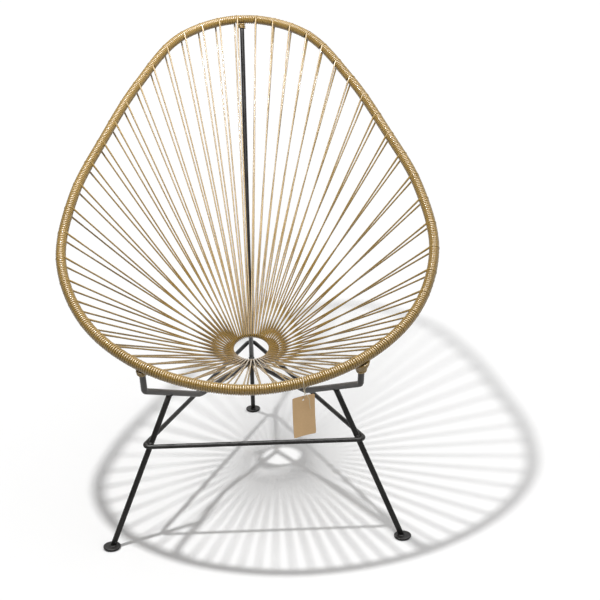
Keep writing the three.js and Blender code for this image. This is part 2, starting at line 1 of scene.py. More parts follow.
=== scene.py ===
import bpy
import numpy as np
from mathutils import Matrix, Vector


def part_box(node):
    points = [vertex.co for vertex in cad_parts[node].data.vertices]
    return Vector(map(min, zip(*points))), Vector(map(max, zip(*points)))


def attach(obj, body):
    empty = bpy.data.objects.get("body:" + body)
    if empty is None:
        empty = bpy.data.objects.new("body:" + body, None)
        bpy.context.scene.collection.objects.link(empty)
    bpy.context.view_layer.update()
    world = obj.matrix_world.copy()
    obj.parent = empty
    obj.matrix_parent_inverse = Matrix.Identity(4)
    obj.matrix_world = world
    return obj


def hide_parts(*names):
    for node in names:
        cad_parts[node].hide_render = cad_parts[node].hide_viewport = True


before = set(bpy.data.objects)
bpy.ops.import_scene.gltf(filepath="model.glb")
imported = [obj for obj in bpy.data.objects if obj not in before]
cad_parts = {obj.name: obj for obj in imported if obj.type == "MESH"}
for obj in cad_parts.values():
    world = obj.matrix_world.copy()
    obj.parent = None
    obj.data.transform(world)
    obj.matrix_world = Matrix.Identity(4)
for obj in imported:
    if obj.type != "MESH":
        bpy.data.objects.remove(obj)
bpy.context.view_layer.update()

# The chair stands on the floor and faces -Y. Lengths are in metres, angles in radians.
# Places in the chair are given from the middle between the front feet, which lies here.
LOW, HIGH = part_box("foot_pad_left")
FEET_LINE = np.array([0.0, (LOW[1] + HIGH[1]) / 2, 0.0])

# The hoop: half width, depth, height of the lip, rise to the crown, overhang of the lip, rod.
HOOP_HALF_WIDTH = 0.366
HOOP_DEPTH = 0.9535
HOOP_LIP_HEIGHT = 0.374
HOOP_RISE = 0.5275
HOOP_OVERHANG = 0.1095
HOOP_ROD = 0.012
# How far the crown stands to the sitter's left, and the share of the rise where that starts.
HOOP_LEAN = 0.005
LEAN_START_SHARE = 0.3
# One side of the hoop from lip to crown, as shares of its half width, depth and rise.
HOOP_SHARES = np.array([
    [0, 0, 0], [0.472, 0.042, 0.0425], [0.825, 0.152, 0.144], [0.992, 0.298, 0.2985],
    [0.9565, 0.4545, 0.475], [0.8145, 0.6175, 0.6355], [0.639, 0.775, 0.7965],
    [0.384, 0.9055, 0.9545], [0, 1, 1],
])
# Points of the curve from one mark to the next, the rod's points along and round it, and the
# distance to each side over which the curve's slope is taken.
HOOP_SAMPLES = 200
HOOP_STEPS = 360
HOOP_SIDES = 12
SLOPE_REACH = 0.004

# The cord: its diameter as wound and as drawn tight in the loops, how close its turns lie, and
# its points for each turn and round its section.
CORD = 0.0045
TIGHT_CORD = 0.0034
TURN_PITCH = 0.00465
TURN_STEPS = 12.4
CORD_SIDES = 6
# From the hoop's line to the middle and to the outside of the cord wound on it.
COIL = HOOP_ROD / 2 + CORD / 2
WOUND = COIL + CORD / 2

# The loops: their number, how many one length of cord makes, and their spacing along the hoop,
# which grows from the lip to the side and shrinks to the crown, over these shares of the way.
LOOPS = 56
LOOPS_PER_CORD = 4
LIP_SPACING_SHARE = 0.53
SIDE_SPACING_SHARE = 0.65
CROWN_SPACING_SHARE = 0.36
SIDE_START_SHARE, SIDE_FULL_SHARE = 0.15, 0.57
CROWN_START_SHARE, CROWN_FULL_SHARE = 0.7, 1
# How far along the hoop the loops at the crown lie to the sitter's left.
LOOP_DRIFT = 0.0105
DRIFT_START_SHARE, DRIFT_FULL_SHARE = 0.74, 0.93

# Round a loop's middle: where the cord leaves the face, and where it comes in at the back.
# The leaving cord lies a little proud of the turns beside it, in full by this share of its band.
LEAVE = -0.0015
RETURN = 0.0028
PROUD = 0.0006
PROUD_SHARE = 0.45
BAND_STEPS = 9
RUN_STEPS = 9

# The ring in the middle of the seat, and the cord's way round it: its points, and how much of
# the space between two loops it steps along.
RING_RADIUS = 0.043
RING_ROD = 0.006
RING_CENTRE = np.array([0, 0.324, 0.282])
RING_TILT = np.radians(20)
RING_BACK = np.array([0, np.cos(RING_TILT), np.sin(RING_TILT)])
RING_UP = np.array([0, -np.sin(RING_TILT), np.cos(RING_TILT)])
RING_STEPS = 72
RING_SIDES = 14
RETURN_STEPS = 8
RETURN_SHARE = 0.8

# The arms and the spine, which carry the hoop.
ARM_ROD = 0.012
ARM_JOINT_ARC = 0.213
ARM_DROP = 0.063
ARM_SETBACK = 0.0315
ARM_OUTER_BEND = 0.016
ARM_INNER = np.array([0.107, 0.1875, 0.2395])
ARM_INNER_BEND = 0.055
SADDLE = np.array([0, 0.354, 0.2395])
SPINE_ROD = 0.010
SPINE_CORNER = np.array([0, 0.540, 0.2395])
SPINE_BEND = 0.060

# Legs, stretcher and feet.
LEG_ROD = 0.011
FRONT_FOOT_X = 0.285
LEG_TOP_SHARE = 0.44
REAR_LEG_ROD = 0.010
REAR_FOOT = np.array([0, 0.628, 0])
REAR_LEG_TOP = np.array([0, 0.517, 0.2395])
STRETCHER_ROD = 0.009
STRETCHER_FRONT_HEIGHT = 0.198
STRETCHER_REAR_HEIGHT = 0.211
FOOT_PLATE = 0.034
FOOT_PAD = 0.030
PLATE_SIDES, PAD_SIDES = 64, 48
# The legs' rods start inside the foot plates, and the bead round each lies on the plate.
LEG_START_HEIGHT = 0.0045
FOOT_BEAD_HEIGHT = 0.0053
# A rod's points in a bend, the longest step on its straight runs, and its faces round.
BEND_STEPS = 14
ROD_STEP = 0.03
ROD_SIDES = 24

# Welds: a bead's radius and its points along and round it, the size of a lump at the stretcher,
# and how far above and below the stretcher's line the lumps lie in front and at the rear.
WELD_BEAD = 0.0013
SEAM_STEPS = 48
FOOT_SEAM_STEPS = 40
BEAD_SIDES = 10
LUMP = 0.006
LUMP_ROWS, LUMP_SIDES = 13, 14
FRONT_LUMP_LIFT = 0.0038
REAR_LUMP_LIFT = 0.0036
# Where the rear leg meets the spine, the spine's bend has lifted it this far and slopes so much.
SPINE_LIFT = 0.0018
SPINE_SLOPE = 0.06

# The cord over the joints: its points for each turn and round it, the room a turn takes in cord
# thicknesses, and how many times sooner than its end it has narrowed to the rod.
WRAP_STEPS = 16
WRAP_SIDES = 8
WRAP_TURN_SHARE = 0.92
WRAP_NARROWING = 1.2

# The card tag: its place on the hoop, its sheet and hole, its corners' radius, how far it is
# turned, and how far it bows from side to side and towards its lower edge. Its sheet's points lie
# on rays from the hole, in rows that crowd towards the hole by a power.
TAG_ARC = 0.092
TAG_WIDTH = 0.046
TAG_HEIGHT = 0.077
TAG_THICK = 0.0008
TAG_HOLE = 0.004
TAG_HOLE_DROP = 0.0075
TAG_CORNER = 0.0025
TAG_TURN = np.radians(27)
TAG_SIDE_BOW = 0.0018
TAG_LOWER_BOW = 0.0035
CARD_RAYS = 288
CARD_ROWS = 25
CARD_ROW_POWER = 1.3

# Its string: the thickness, how far its strands' meeting lies below the hoop and behind its
# line, and the turn round the hoop: where it starts, how far it goes and its width in strings.
STRING = 0.0012
STRING_DROP = 0.0175
STRING_SETBACK = 0.0036
STRING_TURN_START = np.radians(-32)
STRING_TURN_SWEEP = np.radians(304)
STRING_TURN_WIDTH = 4.4
STRING_TURN_STEPS = 12
STRING_CLEARANCE = 0.0001
STRING_STEPS = 90
STRING_SIDES = 8

# The photograph's camera: field of view, place, and the pitch, yaw and roll that aim it.
PICTURE = 600
FOCAL_PIXELS = 1284.9
SENSOR = 36.0
CAMERA_PLACE = np.array([-0.00198, -2.58015, 1.2896])
CAMERA_AIM = (0.3546, 0.0272, -0.0237)
CAMERA_SHIFT = (0.0298, 0.0283)

# The lamp, and how bright it and the sky are on white paper laid under the lamp.
LAMP_PLACE = np.array([-0.464, -0.4393, 2.466])
LAMP_RADIUS = 0.06
LAMP_LEVEL = 0.74
SKY_LEVEL = 0.48
# How the sky's light grows from the horizon to overhead, to the right and to the front, and the
# mean height of the sky as level paper gathers its light.
SKY_RISE = 0.42
SKY_LEAN = 0.55
SKY_FRONT = 0.40
SKY_MEAN_HEIGHT = 2 / 3
# What gloss mirrors: a dim room in front that gives way to the backdrop between two depths, the
# backdrop's levels from left to right, and a light overhead with its way and its soft edge.
ROOM_LEVEL = 0.10
BACKDROP_EDGE = (-0.35, 0.30)
BACKDROP_SIDES = (-0.9, 0.9)
BACKDROP_SIDE_LEVELS = (0.4, 1.3)
OVERHEAD_LEVEL = 10.0
OVERHEAD_WAY = (0.0, -0.25, 0.97)
OVERHEAD_EDGE = (0.72, 0.90)
# The floor: its half width, its tone, the share of it that lights the chair from below, and how
# bright it is where it is seen.
FLOOR_REACH = 40.0
FLOOR_TONE = 0.82
FLOOR_BOUNCE_SHARE = 0.42
FLOOR_SEEN_LEVEL = 1.02

WHITE = (1, 1, 1, 1)


def unit(vectors):
    """Each vector divided by its own length."""
    return vectors / np.linalg.norm(vectors, axis=-1, keepdims=True)


def smooth(value):
    """The cubic 3 t t - 2 t t t of a value held between 0 and 1."""
    share = np.clip(value, 0, 1)
    return share * share * (3 - 2 * share)


def ramp(value, low, high):
    """The smooth step from nought at a low value to one at a high one."""
    return smooth((value - low) / (high - low))


def square_to(vectors, axes):
    """Vectors less their part along unit axes, brought back to unit length."""
    return unit(vectors - np.sum(vectors * axes, axis=-1, keepdims=True) * axes)


def circle(count):
    """Even angles once round."""
    return np.linspace(0, 2 * np.pi, count + 1)[:-1]


def spokes(axis, towards, count):
    """Unit vectors once round an axis: the cosine of each angle times the given direction made
    square to the axis, plus the sine times the direction square to both."""
    first = square_to(np.asarray(towards, float), axis)
    angle = circle(count)[:, None]
    return np.cos(angle) * first + np.sin(angle) * np.cross(axis, first)


def lengths_along(points):
    """The distance of each point of a line from its first point, measured along the line."""
    return np.concatenate([[0], np.cumsum(np.linalg.norm(np.diff(points, axis=0), axis=1))])


# Nodes that materials and the world share.

def set_values(node, values):
    """Gives a node's sockets their numbers and colours."""
    for socket, value in values.items():
        node.inputs[socket].default_value = value


def math_node(nodes, operation, *values):
    """A Math node of numbers and outputs, and its own output."""
    node = nodes.new("ShaderNodeMath")
    node.operation = operation
    for socket, value in zip(node.inputs, values):
        if isinstance(value, (int, float)):
            socket.default_value = value
        else:
            node.id_data.links.new(value, socket)
    return node.outputs[0]


def range_node(nodes, value, low, high, new_low, new_high, easing="LINEAR"):
    """A value brought from one range to another and held there."""
    node = nodes.new("ShaderNodeMapRange")
    node.interpolation_type = easing
    set_values(node, {"From Min": low, "From Max": high, "To Min": new_low, "To Max": new_high})
    node.id_data.links.new(value, node.inputs["Value"])
    return node.outputs["Result"]


def blend_node(nodes, share, first, second):
    """First plus the share of the way from first to second."""
    way = math_node(nodes, "SUBTRACT", second, first)
    return math_node(nodes, "MULTIPLY_ADD", share, way, first)


# Camera, lamp and floor.

def aim_camera():
    """Looks along the pitched and yawed direction, rolled about it, from the photograph's viewpoint."""
    pitch, yaw, roll = CAMERA_AIM
    ahead = np.array([np.sin(yaw) * np.cos(pitch), np.cos(yaw) * np.cos(pitch), -np.sin(pitch)])
    level = np.array([np.cos(yaw), -np.sin(yaw), 0])
    above = np.cross(level, ahead)
    right = np.cos(roll) * level + np.sin(roll) * above
    up = np.cos(roll) * above - np.sin(roll) * level
    camera = bpy.data.objects.new("camera", bpy.data.cameras.new("camera"))
    place = np.eye(4)
    place[:3] = np.stack([right, up, -ahead, CAMERA_PLACE], axis=1)
    camera.matrix_world = Matrix(place.tolist())
    camera.data.sensor_width = SENSOR
    camera.data.lens = FOCAL_PIXELS / PICTURE * SENSOR
    camera.data.shift_x, camera.data.shift_y = CAMERA_SHIFT
    bpy.context.scene.collection.objects.link(camera)
    bpy.context.scene.camera = camera


def surround():
    """A studio: plain white where it is seen. It lights the chair most from overhead, the right and
    the front. Gloss mirrors the white backdrop behind, a soft light overhead and a dim room in front."""
    world = bpy.data.worlds.new("studio")
    world.use_nodes = True
    nodes, links = world.node_tree.nodes, world.node_tree.links
    path = nodes.new("ShaderNodeLightPath").outputs
    way = nodes.new("ShaderNodeTexCoord").outputs["Generated"]
    parts = nodes.new("ShaderNodeSeparateXYZ")
    links.new(way, parts.inputs[0])
    across, depth = parts.outputs["X"], parts.outputs["Y"]
    height = math_node(nodes, "MAXIMUM", parts.outputs["Z"], 0.0)
    horizon = SKY_LEVEL - SKY_RISE * SKY_MEAN_HEIGHT
    sky = math_node(nodes, "MULTIPLY_ADD", height, SKY_RISE, horizon)
    sky = math_node(nodes, "MULTIPLY_ADD", across, SKY_LEAN, sky)
    sky = math_node(nodes, "MULTIPLY_ADD", depth, -SKY_FRONT, sky)
    sky = math_node(nodes, "MAXIMUM", sky, 0.0)
    backdrop = range_node(nodes, depth, *BACKDROP_EDGE, ROOM_LEVEL, 1.0, "SMOOTHSTEP")
    side = range_node(nodes, across, *BACKDROP_SIDES, *BACKDROP_SIDE_LEVELS, "SMOOTHSTEP")
    backdrop = math_node(nodes, "MULTIPLY", backdrop, side)
    towards = nodes.new("ShaderNodeVectorMath")
    towards.operation = "DOT_PRODUCT"
    towards.inputs[1].default_value = OVERHEAD_WAY
    links.new(way, towards.inputs[0])
    near = towards.outputs["Value"]
    overhead = range_node(nodes, near, *OVERHEAD_EDGE, 0.0, OVERHEAD_LEVEL, "SMOOTHSTEP")
    mirrored = math_node(nodes, "MAXIMUM", backdrop, overhead)
    level = blend_node(nodes, path["Is Glossy Ray"], sky, mirrored)
    seen = math_node(nodes, "MAXIMUM", path["Is Camera Ray"], path["Is Transmission Ray"])
    links.new(blend_node(nodes, seen, level, 1.0), nodes["Background"].inputs["Strength"])
    nodes["Background"].inputs["Color"].default_value = WHITE
    bpy.context.scene.world = world


def hang_lamp():
    """A small round lamp above the chair's front left; its power gives LAMP_LEVEL right below it."""
    lamp = bpy.data.objects.new("lamp", bpy.data.lights.new("lamp", "POINT"))
    lamp.location = LAMP_PLACE.tolist()
    lamp.data.shadow_soft_size = LAMP_RADIUS
    lamp.data.energy = LAMP_LEVEL * 4 * np.pi**2 * LAMP_PLACE[2] ** 2
    bpy.context.scene.collection.objects.link(lamp)


def lay_floor():
    """A wide white floor. The lamp's light on it falls with the cube of the lamp's height over its
    distance, and where the floor is seen, it glows by what that leaves short of white. It throws less
    light back up than white paper would."""
    mesh = bpy.data.meshes.new("floor")
    corners = [(x * FLOOR_REACH, y * FLOOR_REACH, 0) for x, y in ((-1, -1), (1, -1), (1, 1), (-1, 1))]
    mesh.from_pydata(corners, [], [(0, 1, 2, 3)])
    floor = bpy.data.objects.new("floor", mesh)
    bpy.context.scene.collection.objects.link(floor)
    paint = bpy.data.materials.new("white_floor")
    paint.use_nodes = True
    nodes, links = paint.node_tree.nodes, paint.node_tree.links
    surface = nodes["Principled BSDF"]
    path = nodes.new("ShaderNodeLightPath").outputs
    tone = blend_node(nodes, path["Is Diffuse Ray"], FLOOR_TONE, FLOOR_TONE * FLOOR_BOUNCE_SHARE)
    links.new(tone, surface.inputs["Base Color"])
    set_values(surface, {"Roughness": 1.0, "Specular IOR Level": 0.0, "Emission Color": WHITE})
    away = nodes.new("ShaderNodeVectorMath")
    away.operation = "DISTANCE"
    away.inputs[1].default_value = LAMP_PLACE.tolist()
    links.new(nodes.new("ShaderNodeTexCoord").outputs["Object"], away.inputs[0])
    share = math_node(nodes, "DIVIDE", float(LAMP_PLACE[2]), away.outputs["Value"])
    fall = math_node(nodes, "POWER", share, 3.0)
    lit = math_node(nodes, "MULTIPLY_ADD", fall, FLOOR_TONE * LAMP_LEVEL, FLOOR_TONE * SKY_LEVEL)
    short = math_node(nodes, "MAXIMUM", math_node(nodes, "SUBTRACT", FLOOR_SEEN_LEVEL, lit), 0.0)
    seen = math_node(nodes, "MAXIMUM", path["Is Camera Ray"], path["Is Glossy Ray"])
    seen = math_node(nodes, "MAXIMUM", seen, path["Is Transmission Ray"])
    links.new(math_node(nodes, "MULTIPLY", short, seen), surface.inputs["Emission Strength"])
    mesh.materials.append(paint)


# Finishes.

def group_of(name, inputs):
    """An empty shader group with inputs of the given kinds, what it is given, and the sockets of what
    it gives out: a colour, a roughness and a height."""
    group = bpy.data.node_groups.new(name, "ShaderNodeTree")
    for socket, kind in inputs.items():
        group.interface.new_socket(socket, in_out="INPUT", socket_type="NodeSocket" + kind)
    for socket, kind in (("Color", "Color"), ("Roughness", "Float"), ("Height", "Float")):
        group.interface.new_socket(socket, in_out="OUTPUT", socket_type="NodeSocket" + kind)
    given = group.nodes.new("NodeGroupInput").outputs
    return group, given, group.nodes.new("NodeGroupOutput").inputs


def noise(group, vector, scale, detail=3.0, roughness=0.55):
    """Noise at a scale on a vector, as a value round one half."""
    node = group.nodes.new("ShaderNodeTexNoise")
    set_values(node, {"Scale": scale, "Detail": detail, "Roughness": roughness})
    group.links.new(vector, node.inputs["Vector"])
    return node.outputs["Fac"]


def mixed(group, share, first, second):
    """Two colours mixed by a share."""
    node = group.nodes.new("ShaderNodeMix")
    node.data_type = "RGBA"
    for socket, value in (("Factor", share), ("A", first), ("B", second)):
        if isinstance(value, (int, float, tuple)):
            node.inputs[socket].default_value = value
        else:
            group.links.new(value, node.inputs[socket])
    return node.outputs["Result"]


def stretched(group, vector, scale):
    """A vector with its three parts scaled apart."""
    node = group.nodes.new("ShaderNodeVectorMath")
    node.operation = "MULTIPLY"
    node.inputs[1].default_value = scale
    group.links.new(vector, node.inputs[0])
    return node.outputs["Vector"]


def give_out(group, given, made, colour, roughening, height):
    """Links a group's colour, its given roughness with a change added, and its height."""
    rough = math_node(group.nodes, "ADD", given["Roughness"], roughening)
    for socket, value in (("Color", colour), ("Roughness", rough), ("Height", height)):
        group.links.new(value, made[socket])
    return group


def drawn_plastic():
    """Extruded cord: faint lines along it, tone that drifts slowly, and scuffs that dull it."""
    inputs = {"Vector": "Vector", "Place": "Vector", "Colour": "Color", "Pale": "Color",
              "Roughness": "Float"}
    group, given, made = group_of("drawn_plastic", inputs)
    nodes, place = group.nodes, given["Place"]
    streak = (0.22, 0.135, 0.030, 1)
    lines = noise(group, stretched(group, given["Vector"], (18.0, 520.0, 1.0)), 1.0, 2.0)
    drift = noise(group, place, 9.0, 2.0)
    scuffs = noise(group, place, 420.0, 4.0, 0.7)
    tone = range_node(nodes, drift, 0.35, 0.68, 0.0, 0.55)
    toned = mixed(group, tone, given["Colour"], given["Pale"])
    streaked = mixed(group, range_node(nodes, lines, 0.3, 0.7, 0.0, 0.22), toned, streak)
    dulled = range_node(nodes, scuffs, 0.35, 0.75, -0.06, 0.14)
    return give_out(group, given, made, streaked, dulled, lines)


def powder_coat():
    """Baked paint: an even orange peel, slow changes of tone, and a little dust in the fine grain."""
    inputs = {"Place": "Vector", "Colour": "Color", "Dust": "Color", "Roughness": "Float"}
    group, given, made = group_of("powder_coat", inputs)
    nodes, place, dust = group.nodes, given["Place"], given["Dust"]
    peel = noise(group, place, 900.0, 2.0, 0.5)
    drift = noise(group, place, 24.0, 3.0)
    grains = range_node(nodes, noise(group, place, 2600.0, 3.0, 0.7), 0.58, 0.78, 0.0, 0.5)
    cloudy = mixed(group, range_node(nodes, drift, 0.35, 0.7, 0.0, 0.35), given["Colour"], dust)
    dulled = range_node(nodes, drift, 0.3, 0.7, -0.05, 0.08)
    return give_out(group, given, made, mixed(group, grains, cloudy, dust), dulled, peel)


def pressed_fibre():
    """Fibres in card or in twisted string: long thin noise in two directions, and flecks."""
    inputs = {"Place": "Vector", "Colour": "Color", "Fleck": "Color", "Roughness": "Float"}
    group, given, made = group_of("pressed_fibre", inputs)
    nodes, place, fleck = group.nodes, given["Place"], given["Fleck"]
    level = noise(group, stretched(group, place, (260.0, 260.0, 2400.0)), 1.0, 4.0, 0.6)
    upright = noise(group, stretched(group, place, (1900.0, 1900.0, 300.0)), 1.0, 4.0, 0.6)
    fibre = mixed(group, 0.5, level, upright)
    cloud = noise(group, place, 60.0, 3.0)
    toned = mixed(group, range_node(nodes, fibre, 0.35, 0.7, 0.0, 0.5), given["Colour"], fleck)
    clouded = mixed(group, range_node(nodes, cloud, 0.3, 0.7, 0.0, 0.25), toned, fleck)
    dulled = range_node(nodes, fibre, 0.3, 0.7, -0.05, 0.08)
    return give_out(group, given, made, clouded, dulled, fibre)


def finish_of(name, group, colours, roughness, bump, depth, specular, coat=0.0, coat_roughness=0.03):
    """A material whose colour, roughness and bump come from one effect group with its own values.
    Values that are the same all over go on the shader's own sockets."""
    material = bpy.data.materials.new(name)
    material.use_nodes = True
    nodes, links = material.node_tree.nodes, material.node_tree.links
    surface = nodes["Principled BSDF"]
    effect = nodes.new("ShaderNodeGroup")
    effect.node_tree = group
    coordinates = nodes.new("ShaderNodeTexCoord")
    links.new(coordinates.outputs["Object"], effect.inputs["Place"])
    if "Vector" in effect.inputs:
        links.new(coordinates.outputs["UV"], effect.inputs["Vector"])
    set_values(effect, {socket: (*value, 1) for socket, value in colours.items()})
    set_values(effect, {"Roughness": roughness})
    relief = nodes.new("ShaderNodeBump")
    set_values(relief, {"Strength": bump, "Distance": depth})
    links.new(effect.outputs["Height"], relief.inputs["Height"])
    links.new(effect.outputs["Color"], surface.inputs["Base Color"])
    links.new(effect.outputs["Roughness"], surface.inputs["Roughness"])
    links.new(relief.outputs["Normal"], surface.inputs["Normal"])
    set_values(surface, {"Specular IOR Level": specular, "Coat Weight": coat,
                         "Coat Roughness": coat_roughness})
    return material


# Meshes.

def tube(path, beside, radius, sides, closed=False):
    """Rings of points round a path, each square to the path's slope: the path's point plus the radius
    times the angle's cosine along the given side direction, made square to the slope, and the angle's
    sine along the direction square to both."""
    if closed:
        slope = np.roll(path, -1, axis=0) - np.roll(path, 1, axis=0)
    else:
        slope = np.gradient(path, axis=0)
    slope = unit(slope)
    first = square_to(np.broadcast_to(beside, path.shape), slope)
    second = np.cross(slope, first)
    angle = circle(sides)[None, :, None]
    reach = np.broadcast_to(np.asarray(radius, float), path.shape[:1])[:, None, None]
    return path[:, None] + reach * (np.cos(angle) * first[:, None] + np.sin(angle) * second[:, None])


def turned(profile, centre, axis, sides):
    """A profile of radius and height carried round an axis through a centre, counted from a
    direction that lies along no axis in use."""
    axis = unit(np.asarray(axis, float))
    radius, height = np.asarray(profile, float).T[..., None, None]
    return centre + height * axis + radius * spokes(axis, [0.36, 0.48, 0.8], sides)


def weave_faces(grid, offset, closed):
    """Corner numbers and metre coordinates of the faces between the rows of one grid, and its caps."""
    rows, columns = grid.shape[:2]
    index = offset + np.arange(rows * columns).reshape(rows, columns)
    if closed:
        index = np.vstack([index, index[:1]])
        grid = np.concatenate([grid, grid[:1]])
    beside = np.roll(index, -1, axis=1)
    quads = np.stack([index[:-1], beside[:-1], beside[1:], index[1:]], axis=-1).reshape(-1, 4)
    along = lengths_along(grid.mean(axis=1))
    girth = np.linalg.norm(np.diff(grid, axis=1), axis=-1).mean() * columns
    around = np.arange(columns + 1) / columns * girth
    spots = np.stack(np.meshgrid(along, around, indexing="ij"), axis=-1)
    corners = np.stack([spots[:-1, :-1], spots[:-1, 1:], spots[1:, 1:], spots[1:, :-1]], axis=2)
    caps = [] if closed else [index[0][::-1], index[-1]]
    return quads, corners.reshape(-1, 2), caps


def piece(name, grids, material, body="chair", replaced=(), closed=(), smooth_shaded=True):
    """One mesh of several grids of points. A grid's rows go round a section; its first and last row
    are closed by flat faces, or joined to each other where its number is among the closed ones."""
    quads, spots, caps, offset = [], [], [], 0
    for number, grid in enumerate(grids):
        faces, corners, ends = weave_faces(grid, offset, number in closed)
        quads.append(faces)
        spots.append(corners)
        caps.extend(ends)
        offset += grid.shape[0] * grid.shape[1]
    quads, spots = np.concatenate(quads), np.concatenate(spots)
    points = np.concatenate([grid.reshape(-1, 3) for grid in grids]) + FEET_LINE
    corners = np.concatenate([quads.ravel(), *caps]).astype(np.int32)
    cap_starts = np.cumsum([0] + [len(cap) for cap in caps])[:-1]
    starts = np.concatenate([np.arange(len(quads)) * 4, len(quads) * 4 + cap_starts]).astype(np.int32)
    mesh = bpy.data.meshes.new(name)
    mesh.vertices.add(len(points))
    mesh.vertices.foreach_set("co", points.astype(np.float32).ravel())
    mesh.loops.add(len(corners))
    mesh.loops.foreach_set("vertex_index", corners)
    mesh.polygons.add(len(starts))
    mesh.polygons.foreach_set("loop_start", starts)
    flat = np.zeros((len(corners) - len(spots), 2))
    layer = mesh.uv_layers.new(name="UVMap")
    layer.data.foreach_set("uv", np.concatenate([spots, flat]).astype(np.float32).ravel())
    rounded = np.zeros(len(starts), bool)
    rounded[: len(quads)] = smooth_shaded
    mesh.update(calc_edges=True)
    mesh.polygons.foreach_set("use_smooth", rounded)
    mesh.materials.append(material)
    made = bpy.data.objects.new(name, mesh)
    bpy.context.scene.collection.objects.link(made)
    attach(made, body)
    if replaced:
        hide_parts(*replaced)
    return made


# The hoop's line, and the cord that follows it.

def closed_curve(marks, samples):
    """A closed centripetal Catmull-Rom curve: between two marks, the cubic whose slopes come from the
    four marks round it, each step weighted by the square root of its length."""
    before, start, end, after = (np.roll(marks, n, axis=0) for n in (1, 0, -1, -2))
    come, go, leave = start - before, end - start, after - end
    a, b, c = (np.sqrt(np.linalg.norm(step, axis=1))[:, None] for step in (come, go, leave))
    first = (come / a - (end - before) / (a + b) + go / b) * b
    last = (go / b - (after - start) / (b + c) + leave / c) * b
    square = 3 * go - 2 * first - last
    cube = first + last - 2 * go
    t = (np.arange(samples) / samples)[None, :, None]
    spots = start[:, None] + first[:, None] * t + square[:, None] * t**2 + cube[:, None] * t**3
    return spots.reshape(-1, 3)


def hoop_line():
    """The hoop's middle line with the distance of each point from the middle of the lip."""
    size = np.array([HOOP_HALF_WIDTH, HOOP_DEPTH, HOOP_RISE])
    side = HOOP_SHARES * size + np.array([0, -HOOP_OVERHANG, HOOP_LIP_HEIGHT])
    marks = np.concatenate([side, side[1:-1][::-1] * np.array([-1, 1, 1])])
    rise = (marks[:, 2] - HOOP_LIP_HEIGHT) / HOOP_RISE
    marks[:, 0] += HOOP_LEAN * ramp(rise, LEAN_START_SHARE, 1)
    spots = closed_curve(marks, HOOP_SAMPLES)
    spots = np.concatenate([spots, spots[:1]])
    return lengths_along(spots), spots


HOOP_ARCS, HOOP_SPOTS = hoop_line()
HOOP_LENGTH = HOOP_ARCS[-1]


def hoop_point(arc):
    """Points of the hoop's line at distances along it."""
    rest = np.mod(arc, HOOP_LENGTH)
    return np.stack([np.interp(rest, HOOP_ARCS, HOOP_SPOTS[:, k]) for k in range(3)], axis=-1)


CROWN = hoop_point(HOOP_LENGTH / 2)


def hoop_at(arc):
    """At distances along the hoop: the point, the way along, the way in to the ring made square to it,
    and the way out on the sitter's side, which is square to both."""
    point = hoop_point(arc)
    along = unit(hoop_point(arc + SLOPE_REACH) - hoop_point(arc - SLOPE_REACH))
    inward = square_to(RING_CENTRE - point, along)
    return point, along, inward, np.cross(along, inward)


def loop_arcs():
    """Distance of each loop's middle along the hoop: steps that widen from lip to side and narrow
    towards the crown, summed up one side, mirrored down the other, and slid a little at the crown."""
    half = LOOPS // 2
    share = (np.arange(half) + 0.5) / half
    steps = LIP_SPACING_SHARE + SIDE_SPACING_SHARE * ramp(share, SIDE_START_SHARE, SIDE_FULL_SHARE)
    steps -= CROWN_SPACING_SHARE * ramp(share, CROWN_START_SHARE, CROWN_FULL_SHARE)
    side = (np.cumsum(steps) - steps / 2) / steps.sum() * HOOP_LENGTH / 2
    arcs = np.concatenate([side, HOOP_LENGTH - side[::-1]])
    share = 1 - np.abs(2 * arcs / HOOP_LENGTH - 1)
    return arcs - LOOP_DRIFT * ramp(share, DRIFT_START_SHARE, DRIFT_FULL_SHARE)


LOOP_ARCS = loop_arcs()


def arc_of(number):
    """A loop's distance along the hoop, counted on past the lip in both directions."""
    return LOOP_ARCS[number % LOOPS] + number // LOOPS * HOOP_LENGTH


def coil_points(arc, angle, radius):
    """Points round the hoop: the face direction turned inward by the angle, at a radius."""
    point, along, inward, face = hoop_at(arc)
    angle, radius = np.asarray(angle)[..., None], np.asarray(radius)[..., None]
    return point + radius * (face * np.cos(angle) + inward * np.sin(angle)), along


def winding(arc, next_arc):
    """The turns between two loops. The angle grows evenly; the distance along the hoop goes by one
    even step a turn on the face and by another at the back, and by their mix in between."""
    span = next_arc - arc
    turns = int(round(span / TURN_PITCH)) - 1
    face_step = span / (turns + 1)
    back_step = (span - RETURN + LEAVE) / turns
    turn = np.linspace(0.5, turns + 0.5, int(round(turns * TURN_STEPS)) + 1)
    share = (1 + np.cos(turn * 2 * np.pi)) / 2
    on_face = arc + LEAVE + turn * face_step
    at_back = arc + RETURN + (turn - 0.5) * back_step
    return coil_points(share * on_face + (1 - share) * at_back, turn * 2 * np.pi, COIL)


def ring_outward(angle):
    """Unit directions from the ring's middle, at angles from the sitter's front."""
    angle = angle[:, None]
    return np.sin(angle) * np.array([1, 0, 0]) - np.cos(angle) * RING_BACK


def ring_return(index, arc):
    """The cord's way round the ring: half a circle about the ring's rod, from below, round the inner
    side and over it, which also steps along the ring, turned to face the loop's place on the hoop."""
    share = np.linspace(0, 1, RETURN_STEPS + 1)
    outward = ring_outward((index + 0.5 + (share - 0.5) * RETURN_SHARE) * 2 * np.pi / LOOPS)
    seat = RING_CENTRE + outward * RING_RADIUS
    round_ring = np.cross(outward, RING_UP)
    pull = square_to(unit(hoop_point(arc) - seat), round_ring)
    reach = (RING_ROD + TIGHT_CORD) / 2
    bow = share[:, None] * np.pi
    path = seat - pull * reach * np.sin(bow) + np.cross(pull, round_ring) * reach * np.cos(bow)
    return path, -round_ring


